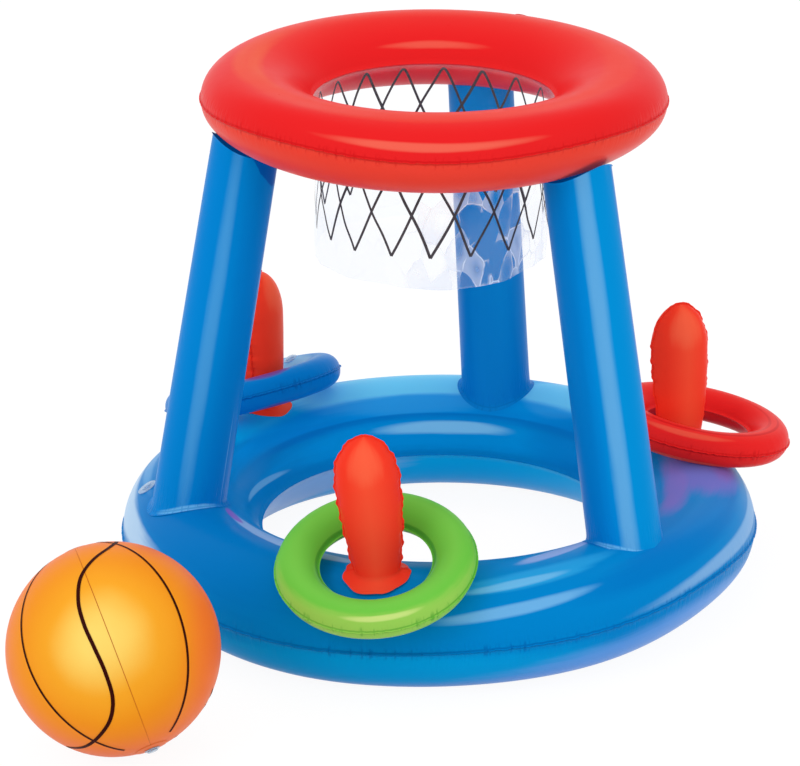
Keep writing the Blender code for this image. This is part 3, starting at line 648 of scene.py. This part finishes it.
clear = Finish(bpy.data.materials.new("clear_vinyl"))
lay, place = clear.lay(), clear.place()
drop = clear.part(lay, "Z")
cloud = clear.noise(place, 14.0, 4.0)
wander = clear.node("ShaderNodeTexNoise", {}, {"Vector": place, "Scale": 16.0, "Detail": 3.0}, "Color")
bent = clear.vectors("MULTIPLY_ADD", wander, (0.025, 0.025, 0.025), place)
drawn = {"Vector": clear.vectors("MULTIPLY", bent, (58.0, 58.0, 34.0)), "Scale": 1.0}
cell = clear.part(clear.node("ShaderNodeTexVoronoi", {}, drawn, "Color"), "X")
across_cell = clear.node("ShaderNodeTexVoronoi", {}, drawn, "Distance")
plate = clear.span(cell + (across_cell - 0.45) * 0.7 + (cloud - 0.5) * 0.5, 0.50, 0.90)
edge = clear.node("ShaderNodeTexVoronoi", {"feature": "DISTANCE_TO_EDGE"}, drawn, "Distance")
crease = clear.span(edge, 0.0, 0.045, 1.0, 0.0) * clear.span(clear.noise(place, 32.0), 0.46, 0.56)
# Where the crumpled plates show their painted reflection: the side towards the front right.
sheen_side = clear.vectors("DOT_PRODUCT", lay, (0.64, -0.77, 0.0), output="Value")
sheen_side = clear.span(sheen_side, 0.50, 0.80, 0.08, 1.0)
near_side = clear.vectors("DOT_PRODUCT", lay, (0.0, -1.0, 0.0), output="Value")
near_side = clear.span(near_side, -0.1, 0.3)
# A painted lavender tint low on the near side.
lower = clear.span(drop + (cloud - 0.5) * 0.05, 0.070, 0.100) * near_side
tone = clear.colours(lower, screen(252, 253, 255), screen(212, 226, 246))
relief = crease * 0.0010 + plate * 0.0006 + cloud * 0.006
# The emission is a painted glow that keeps the film white where it lies in shade.
shine = clear.skin(
    {
        "Base Color": tone,
        "Roughness": 0.12,
        "Specular IOR Level": 0.4,
        "Normal": clear.bump(relief, 0.6),
        "Emission Color": tone,
        "Emission Strength": 0.5,
    }
)
glow = clear.node("ShaderNodeBsdfTranslucent", {}, {"Color": screen(248, 250, 255)})
shine = clear.shaders(0.4, shine, glow)
window = clear.node("ShaderNodeBsdfTransparent", {}, {"Color": (0.972, 0.984, 1.0, 1.0)})
hem_edge = clear.span(drop, skirt_long - 0.0022, skirt_long - 0.0012)
# A painted highlight band just under the weld.
weld_band_highlight = clear.span(drop, 0.0, 0.005, 1.0, 0.0)
facing = clear.node("ShaderNodeLayerWeight", {}, {"Blend": 0.35}, "Facing")
# The plates and creases get a painted whitish reflection, strongest on the near side.
crumple_reflection = (plate * 0.40 + crease * 0.45) * sheen_side
share = 0.004 + facing * 0.05 + lower * 0.10 + crumple_reflection * (0.15 + near_side * 0.8)
share = share + hem_edge * near_side * 0.12 + weld_band_highlight * 0.08
clear_film = clear.shown(clear.shaders(share, window, shine))

skirt = film(
    "net_skirt_film",
    np.concatenate([weld_band[None], skirt_points(skirt_turn, skirt_drop)]),
    np.concatenate([skirt_lay[:1] - np.array((0, 0, skirt_weld)), skirt_lay]),
    clear_film,
)
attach(skirt, "frame")
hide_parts("net_skirt")


# The net: dark grey lines printed on the outside of the skirt, each one going up to a small round loop at
# the weld and down again, so that they cross twice before the points.
net_peaks, net_rows, net_row, net_line, net_top, net_round = 18, 3, 0.0385, 0.0026, 0.0028, 0.14


def printed(name, scale, dark, pale, rough, gloss):
    """Ink with a fine grain, from dark to pale."""
    finish = Finish(bpy.data.materials.new(name))
    grain = finish.noise(finish.place(), scale, 3.0)
    sockets = {
        "Base Color": finish.colours(grain, screen(*dark), screen(*pale)),
        "Roughness": 0.4 + grain * rough,
        "Specular IOR Level": gloss,
    }
    return finish.shown(finish.skin(sockets))


def ribbon(path, up, wide):
    """Two rows of points beside a path, wide apart, in the plane that up stands out of."""
    path, up = np.asarray(path, float), np.asarray(up, float)
    along = np.gradient(path, axis=0)
    across = np.cross(along, up)
    across /= np.linalg.norm(across, axis=1)[:, None]
    return np.stack([path - across * wide / 2, path + across * wide / 2])


net_ink = printed("net_ink", 260.0, (52, 48, 54), (92, 88, 94), 0.2, 0.15)
half_step = math.pi / net_peaks
net_points, net_faces = [], []
for peak in range(net_peaks):
    steps = np.linspace(-net_rows, net_rows, 181)
    rounded = np.sqrt(steps**2 + net_round**2) - net_round
    rounded *= net_rows / rounded[-1]
    fall = net_top + rounded * net_row
    turn = (2 * peak + steps) * half_step
    drift = math.radians(2.7) * np.sin(turn)
    turn = turn + math.radians(2.9) + drift + 0.010 * np.sin(3 * turn + fall * 70)
    path = skirt_points(turn, fall, 0.0004)
    normal = joined(np.cos(turn), np.sin(turn), 0.0)
    edges = ribbon(path, normal, net_line * (0.92 if peak % 3 else 1.06))
    first = sum(len(p) for p in net_points)
    net_points.append(edges.transpose(1, 0, 2).reshape(-1, 3))
    corners = [first + 2 * i for i in range(len(steps) - 1)]
    net_faces += [(corner, corner + 1, corner + 3, corner + 2) for corner in corners]
net = shaped("net_print_lines", np.concatenate(net_points).tolist(), net_faces, net_ink)
net.data.shade_smooth()
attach(net, "frame")
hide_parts("net_print")


# The three toss pegs: each is two films welded up one side, over the round top and down the other. The weld
# pulls in every centimetre or two, and the open foot is welded to the base ring by a flange.
peg_tall, peg_neck, peg_body = 0.1370, 0.0205, 0.0285
peg_deep, peg_dome, peg_fin = 0.78, 0.0450, 0.0018
base_top = base_seam_height + base_crest[1]
pegs = (
    ("front", -102.9, 0.2510, 4.0, 8.5, 0.0),
    ("left", 133.7, 0.2506, 2.0, 0.0, 70.0),
    ("right", 18.0, 0.2470, 0.7, 0.0, 20.0),
)


def peg_matrix(degrees, circle, left_lean, front_lean, turned):
    angle = math.radians(degrees)
    lean = Matrix.Rotation(math.radians(front_lean), 4, "X")
    lean = lean @ Matrix.Rotation(-math.radians(left_lean), 4, "Y")
    lean = lean @ Matrix.Rotation(math.radians(turned), 4, "Z")
    foot = hub + Vector((circle * math.cos(angle), circle * math.sin(angle), base_top))
    return Matrix.Translation(foot) @ lean


def peg_profile(steps):
    """Radius and height down a peg from its top to its foot."""
    waist = peg_tall - peg_dome
    turns = np.linspace(0, math.pi / 2, steps // 2)
    dome = [(peg_body * math.sin(turn), waist + peg_dome * math.cos(turn)) for turn in turns]
    side = [
        (peg_neck + (peg_body - peg_neck) * math.sin(share * math.pi / 2), waist * share)
        for share in np.linspace(1, 0, steps - len(dome) + 1)[1:]
    ]
    return np.array(dome + side)


def peg_half(matrix, front, seed):
    """The points of one of a peg's two films, from weld to weld."""
    profile = peg_profile(110)
    run = np.concatenate([[0.0], np.cumsum(np.hypot(*np.diff(profile, axis=0).T))])
    chance = np.random.RandomState(seed)
    columns = np.linspace(0, math.pi, 61)
    from_seam = np.minimum(columns, math.pi - columns) * peg_body
    rows, lay = [], []
    phase = chance.uniform(0, 6.3, 8)
    for (radius, height), s in zip(profile, run):
        left = math.sin(s / 0.0190 * 2 * math.pi + phase[0] + 1.6 * math.sin(s * 70 + phase[1]))
        right = math.sin(s / 0.0210 * 2 * math.pi + phase[2] + 1.6 * math.sin(s * 60 + phase[3]))
        left += 0.5 * math.sin(s / 0.0083 * 2 * math.pi + phase[3])
        right += 0.5 * math.sin(s / 0.0077 * 2 * math.pi + phase[1])
        side = np.cos(columns)
        pull = np.where(side > 0, right, left) * 0.00075 - 0.0005
        pull = pull * np.exp(-from_seam / 0.0075) * min(1.0, radius / 0.012)
        swell = 0.0006 * math.sin(s * 60 + phase[4]) * np.sin(columns) ** 2
        reach = radius + pull + swell * min(1.0, radius / 0.02)
        x, y = reach * side, -reach * np.sin(columns) * peg_deep * (1 if front else -1)
        sway = 0.0007 * math.sin(s * 38 + phase[5])
        rows.append(joined(x + sway, y, height))
        lay.append(joined(math.cos(s / 0.1), math.sin(s / 0.1), from_seam))
    rows, lay = np.array(rows), np.array(lay)
    along = np.gradient(profile, axis=0)
    out = joined(-along[:, 1], along[:, 0])
    out /= np.linalg.norm(out, axis=1)[:, None]
    wave = np.sin(run / 0.0062 * 2 * math.pi + phase[6]) * 0.0004
    strip = []
    for column, sign in ((0, 1.0), (-1, -1.0)):
        edge = rows[:, column].copy()
        edge[:, 0] += sign * out[:, 0] * peg_fin
        edge[:, 2] += out[:, 1] * peg_fin
        edge[:, 1] += wave + (-0.0003 if front else 0.0003)
        strip.append(edge)
    rows = np.concatenate([strip[0][:, None], rows, strip[1][:, None]], axis=1)
    edge_lay = lay[:, :1].copy()
    edge_lay[:, :, 2] = -peg_fin
    lay = np.concatenate([edge_lay, lay, edge_lay], axis=1)
    turned = moved(rows, matrix)
    down = -np.array(matrix.col[2].to_3d())
    last = turned[-1]
    drop = met(last, np.tile(down, (len(last), 1)), -0.03, 0.05, lambda p: -above_base(p))
    feet = last + down * (drop - 0.0006)[:, None]
    away = feet - np.array(matrix.translation)
    away -= np.outer(away @ down, down)
    away /= np.linalg.norm(away, axis=1)[:, None]
    place = np.arange(len(feet))
    wavy = 1 + 0.03 * np.sin(place * 0.5) + 0.04 * np.sin(place * 0.16 + phase[7])
    ahead = np.clip(-away[:, 1], 0, 1)
    wide = (0.0085 + 0.0058 * np.sqrt(ahead) + 0.0040 * np.abs(away[:, 0]) * ahead) * wavy
    flange = [laid_on_base(feet + away * share * wide[:, None], 0.0005) for share in (0.35, 1.0)]
    points = np.concatenate([turned[:-1], feet[None], np.array(flange)])
    return points, np.concatenate([lay, lay[-1:], lay[-1:]])


# The peg film's lighter middle and the patch near its top are painted highlights, and its stronger emission a
# painted glow.
peg_vinyl = vinyl(
    "peg_vinyl", (236, 58, 38), (240, 80, 52), (228, 40, 30), 0.09, 110,
    ((17, 11, 0.043, 0.016, 0.0, 1.0, (242, 108, 74), 0.5),), tint=(1.0, 0.30, 0.20, 1.0), painted_glow=0.18,
)
for number, (peg_name, *stand) in enumerate(pegs):
    for half, front in (("front", True), ("back", False)):
        points, lay = peg_half(peg_matrix(*stand), front, 11 + number)
        peg = film(f"{peg_name}_peg_{half}_film", points, lay, peg_vinyl, closed=False, flip=not front)
        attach(peg, "frame")
        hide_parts(f"{peg_name}_peg_{half}_panel")


# The toss rings: three small chambers in green, blue and red film. Each lies loose on the base ring round
# its peg and leans on it, so it can be lifted off.
ring_size, ring_weld, ring_grain = (0.0520, 0.0900, 1.0, 24), 0.0016, (3.0, 3.0, 300.0)
ring_puckers, ring_segments, ring_film_wide, ring_cells = (84, 0.0003), 400, 0.053, 110
ring_line = section(*ring_size)
# Each ring's patches are painted light: lighter ones painted highlights and painted reflections, the purple
# on the blue ring its peg painted in as seen through it, and the thin darker lines on the red ring painted
# shade in its creases.
toss_rings = (
    (
        "green", -102.9, 19.0, ((110, 202, 70), (120, 206, 78), (60, 156, 44)), (0.50, 0.86, 0.20, 1.0), 0.06,
        (
            (-95, 80, 0.006, 0.010, 0.0, 0.8, (160, 210, 92), 0.85),
            (-86, 22, 0.0125, 0.0026, 0.0, 0.7, (208, 232, 136), 0.9),
            (0, 150, 0.052, 0.003, 0.0, 0.5, (64, 160, 50), 0.7),
            (180, 150, 0.052, 0.003, 0.0, 0.5, (64, 160, 50), 0.7),
        ),
    ),
    (
        "blue", 133.7, 20.0, ((0, 130, 210), (6, 138, 216), (0, 92, 170)), (0.10, 0.42, 0.86, 1.0), 0.14,
        (
            (-72, 20, 0.027, 0.011, 0.0, 0.5, (128, 60, 140), 0.85),
            (60, 46, 0.040, 0.012, 0.0, 0.6, (150, 205, 240), 0.85),
        ),
    ),
    (
        "red", 18.0, 11.0, ((236, 40, 40), (237, 52, 46), (200, 16, 22)), (1.0, 0.16, 0.10, 1.0), 0.03,
        (
            (-104, 28, 0.0145, 0.0032, 0.0, 0.7, (242, 92, 70), 0.8),
            (-90, 120, 0.0225, 0.0018, 0.0, 0.5, (208, 22, 28), 0.7),
            (-60, 100, 0.0305, 0.0018, 0.0, 0.5, (214, 24, 30), 0.6),
            (100, 60, 0.015, 0.006, 0.0, 0.7, (241, 84, 60), 0.6),
        ),
    ),
)


def ring_matrix(colour, degrees, tilt):
    """A toss ring's middle is the middle of its CAD films, and it tips outwards from the base's middle."""
    low_a, high_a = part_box(f"{colour}_ring_upper_panel")
    low_b, high_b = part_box(f"{colour}_ring_lower_panel")
    low = Vector(map(min, low_a, low_b))
    high = Vector(map(max, high_a, high_b))
    angle = math.radians(degrees)
    turn = Matrix.Rotation(angle, 4, "Z") @ Matrix.Rotation(math.radians(tilt), 4, "Y")
    return Matrix.Translation((low + high) / 2) @ (turn @ Matrix.Rotation(-angle, 4, "Z"))


for colour, degrees, tilt, shades, ring_tint, see_through, painted_light in toss_rings:
    ring_vinyl = vinyl(
        f"{colour}_ring_vinyl", *shades, ring_film_wide, ring_cells, painted_light,
        tint=ring_tint, grain=ring_grain, clear=see_through,
    )
    for side, upper in (("upper", True), ("lower", False)):
        toss = blown_panel(
            f"{colour}_ring_{side}_film", ring_size, ring_weld, upper, ring_segments, ring_puckers,
            ring_matrix(colour, degrees, tilt), ring_vinyl,
        )
        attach(toss, f"{colour}_ring")
        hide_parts(f"{colour}_ring_{side}_panel")


# The ball: four gores of orange film welded from end to end, with a round patch over each end. Its orange is
# painted light: a painted glow, palest and yellowest where it faces the front, and a pinker painted rim. The
# dark lines are printed: one down the middle of each gore, and a thicker one that winds across the welds.
ball_radius, patch_radius, patch_proud = 0.0930, 0.0150, 0.0006
ball_axis = Vector((0.367, -0.514, -0.775)).normalized()
ball_side = Vector((-0.185, -0.385, 0.904))
ball_side = (ball_side - ball_axis * ball_side.dot(ball_axis)).normalized()
gore_boxes = [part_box(f"ball_gore_{i}") for i in (1, 2, 3, 4)]
ball_middle = Vector(
    [(min(low[k] for low, _ in gore_boxes) + max(high[k] for _, high in gore_boxes)) / 2 for k in range(3)]
)
ball_matrix = Matrix((ball_side, ball_axis.cross(ball_side), ball_axis)).transposed().to_4x4()
ball_matrix.translation = ball_middle
ball_centre = np.array(ball_middle)
ball_light = np.array((-0.01, -0.87, 0.49))


def on_ball(around, polar, reach):
    """Points on the ball from angles round its axis and from its valve end, in degrees."""
    around, polar = np.radians(around), np.radians(polar)
    flat = np.sin(polar) * reach
    return moved(joined(flat * np.cos(around), flat * np.sin(around), reach * np.cos(polar)), ball_matrix)


def ball_lay(points, from_weld):
    """How far a point of the ball faces the light and lies to the right, and its way from a weld."""
    out = (points - ball_centre) / ball_radius
    return joined(out @ ball_light, out[..., 0], from_weld)


orange = Finish(bpy.data.materials.new("ball_vinyl"))
lay, place = orange.lay(), orange.place()
lit_side, right_side, edge = (orange.part(lay, axis) for axis in "XYZ")
cloud = orange.noise(place, 12.0, 3.0)
grain = orange.noise(place, 90.0, 2.0)
lit_side = lit_side + (cloud - 0.5) * 0.10
# The tones are painted light: a painted glow, lighter and yellower towards the front, and a pinker painted
# rim on the right and round the edge. Only the darker line along the welds is the film's own.
tone = screen(242, 124, 62)
for share, colour in (
    (orange.span(lit_side, 0.10, 0.72), (243, 150, 26)),
    (orange.span(lit_side, 0.60, 0.98), (248, 174, 44)),
    (orange.span(lit_side, 0.84, 1.08), (255, 238, 130)),
    (orange.span(right_side, 0.62, 0.95) * 0.7, (247, 112, 40)),
    (orange.span(lit_side, -0.15, 0.22, 0.7, 0.0), (246, 126, 84)),
    (orange.span(edge, 0.0002, 0.0007, 0.35, 0.0), (196, 116, 24)),
):
    tone = orange.colours(share, tone, screen(*colour))
relief = orange.span(edge, 0.0, 0.0022) * 0.0003 + grain * 0.00006 + cloud * 0.0006
# The emission adds to the painted glow.
skin = orange.skin(
    {
        "Base Color": tone,
        "Roughness": 0.42 + (grain - 0.5) * 0.08,
        "IOR": 1.5,
        "Specular IOR Level": 0.10,
        "Specular Tint": (1.0, 0.62, 0.30, 1.0),
        "Normal": orange.bump(relief, 0.8),
        "Emission Color": tone,
        "Emission Strength": 0.06,
    }
)
glow = orange.node("ShaderNodeBsdfTranslucent", {}, {"Color": screen(255, 170, 50)})
ball_vinyl = orange.shown(orange.shaders(0.06, skin, glow))

for gore in range(4):
    around = np.linspace(90 * gore + 0.15, 90 * gore + 89.85, 49)[None, :]
    polar = np.linspace(7.2, 172.8, 97)[:, None]
    points = on_ball(around, polar, ball_radius)
    from_weld = np.minimum(around - 90 * gore, 90 * gore + 90 - around) * math.pi / 180
    lay = ball_lay(points, from_weld * np.sin(np.radians(polar)) * ball_radius)
    gore_film = film(f"ball_gore_{gore + 1}_film", points, lay, ball_vinyl, closed=False, flip=True)
    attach(gore_film, "ball")
    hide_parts(f"ball_gore_{gore + 1}")

for end, pierced in (("valve", True), ("end", False)):
    around = np.arange(64)[None, :] * 360 / 64
    over = ball_radius + patch_proud
    spread = np.linspace(2.9 if pierced else 0.02, math.degrees(math.asin(patch_radius / over)), 10)[:, None]
    lift = np.where(spread == spread[-1], -0.0003, 0.0)
    polar = spread if pierced else 180 - spread
    points = on_ball(around, polar, over + lift)
    lay = ball_lay(points, (spread[-1] - spread) * 0.0016)
    patch = film(f"ball_{end}_patch_film", points, lay, ball_vinyl, flip=not pierced)
    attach(patch, "ball")
    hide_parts(f"ball_{end}_patch")

ball_ink = printed("ball_ink", 240.0, (40, 2, 0), (64, 12, 4), 0.14, 0.04)
winding = np.array(
    [
        (-52, 151), (-30, 143.5), (-10, 136), (3, 126), (9, 112), (10.3, 98), (9.6, 84), (9.4, 70),
        (12, 56), (20, 46), (33, 40), (52, 37), (72, 38.5), (92, 46),
    ]
)


def smooth_line(points, at):
    """A smooth curve through the points, by their places in the list."""
    index = np.clip(at.astype(int), 0, len(points) - 2)
    share = (at - index)[:, None]
    tangent = np.gradient(points.astype(float), axis=0)
    a, b, ta, tb = points[index], points[index + 1], tangent[index], tangent[index + 1]
    return (
        a * (2 * share**3 - 3 * share**2 + 1)
        + ta * (share**3 - 2 * share**2 + share)
        + b * (3 * share**2 - 2 * share**3)
        + tb * (share**3 - share**2)
    )


gore_paths = [joined(line, np.linspace(18, 162, 120)) for line in (51.0, 139.0, 229.0, 318.5)]
winding_path = smooth_line(winding, np.linspace(0, len(winding) - 1, 200))
winding_paths = [winding_path + (half_turn, 0) for half_turn in (0, 180)]
for kind, wide, paths in (("gore_line", 0.0025, gore_paths), ("winding_line", 0.0033, winding_paths)):
    for number, path in enumerate(paths):
        centre = on_ball(path[:, 0], path[:, 1], ball_radius + 0.0003)
        outwards = ribbon(centre, centre - ball_centre, wide) - ball_centre
        outwards /= np.linalg.norm(outwards, axis=-1)[..., None]
        edges = outwards * (ball_radius + 0.00035) + ball_centre
        stripe = film(f"ball_{kind}_{number + 1}", edges, 0 * edges, ball_ink, closed=False, flip=True)
        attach(stripe, "ball")


# The valves: a short moulded tube with a thin flange welded to the film, pushed in flush, and a plug in its
# mouth that pulls out. The chambers and the ball have one each.
clear_mould = Finish(bpy.data.materials.new("clear_mould"))
grain = clear_mould.noise(clear_mould.place(), 140.0)
tone = clear_mould.colours(grain, screen(168, 206, 234), screen(204, 226, 242))
bump = clear_mould.bump(grain * 0.0002, 0.6)
shine = clear_mould.skin(
    {"Base Color": tone, "Roughness": 0.2, "IOR": 1.5, "Coat Weight": 0.4, "Normal": bump}
)
window = clear_mould.node("ShaderNodeBsdfTransparent", {}, {"Color": (0.9, 0.95, 1.0, 1.0)})
facing = clear_mould.node("ShaderNodeLayerWeight", {}, {"Blend": 0.5}, "Facing")
clear_valve = clear_mould.shown(clear_mould.shaders(0.28 + facing * 0.35, window, shine))

red_mould = Finish(bpy.data.materials.new("red_mould"))
grain = red_mould.noise(red_mould.place(), 140.0)
tone = red_mould.colours(grain, screen(206, 26, 24), screen(240, 52, 40))
shine = red_mould.skin({"Base Color": tone, "Roughness": 0.22 + grain * 0.1, "Coat Weight": 0.2})
red_valve = red_mould.shown(shine)


def seat_on(line, radius, height):
    """The nearest place on a blown section, and its outward tilt, as a matrix in the ring's own frame."""
    at = np.linspace(0, len(line) - 1, 2000)
    fine = joined(*(np.interp(at, np.arange(len(line)), line[:, k]) for k in (0, 1)))
    near = int(np.argmin(np.hypot(fine[:, 0] - radius, fine[:, 1] - height)))
    along = fine[min(near + 1, 1999)] - fine[max(near - 1, 0)]
    out = Vector((along[1], 0.0, -along[0])).normalized()
    if out.z < 0:
        out = -out
    tilt = out.to_track_quat("Z", "Y").to_matrix().to_4x4()
    return Matrix.Translation((fine[near, 0], 0.0, fine[near, 1])) @ tilt


def lathe(name, profile, matrix, finish, sides=48):
    """A moulded piece turned from its profile."""
    profile = np.asarray(profile, float)
    turn = np.arange(sides) * 2 * math.pi / sides
    radius, height = profile[:, :1], profile[:, 1:]
    points = moved(joined(radius * np.cos(turn), radius * np.sin(turn), height), matrix)
    lay = joined(np.cos(turn), np.sin(turn), 0 * height)
    made = film(name, points, lay, finish, flip=True)
    made.data.set_sharp_from_angle(angle=math.radians(50))
    return made


def valve(owner, flange, matrix, finish, body):
    """A valve's tube and its stopper. low and top are the faces of the flange over the film."""
    low, top = 0.0003, 0.0011
    tube = [
        (0.0030, top - 0.006), (0.0031, top), (0.0035, top + 0.0001), (flange - 0.0012, top),
        (flange - 0.0004, top - 0.0002), (flange, low + 0.0003), (flange, low), (0.0046, low),
        (0.0044, low - 0.0004), (0.0044, -0.0086), (0.0042, -0.0090), (0.0032, -0.0090), (0.0031, -0.0086),
    ]
    under = top + 0.0002
    plug = [
        (0.0001, under + 0.0013), (0.0032, under + 0.0013), (0.0041, under + 0.0012),
        (0.0048, under + 0.0008), (0.0050, under + 0.0005), (0.0049, under + 0.0001), (0.0046, under),
        (0.0029, under), (0.0028, -0.0058), (0.0024, -0.0064), (0.0001, -0.0065),
    ]
    tube_piece = lathe(f"{owner}_valve_tube", tube, matrix, finish)
    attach(tube_piece, body)
    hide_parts(f"{owner}_valve")
    plug_piece = lathe(f"{owner}_valve_stopper", plug, matrix, finish)
    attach(plug_piece, f"{owner}_valve_plug")
    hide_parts(f"{owner}_valve_plug")


def chamber_valve(owner, flange, line, ring, finish, body):
    """Sets a valve on the blown film above the CAD one's own place."""
    low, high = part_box(f"{owner}_valve")
    local = ring.inverted() @ ((low + high) / 2)
    turn = math.atan2(local.y, local.x)
    seat = seat_on(line, math.hypot(local.x, local.y), local.z)
    valve(owner, flange, ring @ Matrix.Rotation(turn, 4, "Z") @ seat, finish, body)


large, small = 0.0100, 0.0070
chamber_valve("base", large, base_line, base_place, clear_valve, "frame")
chamber_valve("hoop", large, hoop_line, hoop_place, red_valve, "frame")
for colour, degrees, tilt, *_ in toss_rings:
    ring, ring_place = f"{colour}_ring", ring_matrix(colour, degrees, tilt)
    chamber_valve(ring, small, ring_line, ring_place, clear_valve, ring)
ball_seat = ball_matrix @ Matrix.Translation((0, 0, ball_radius + patch_proud))
valve("ball", small, ball_seat, clear_valve, "ball")

bpy.context.scene.view_settings.view_transform = "Standard"
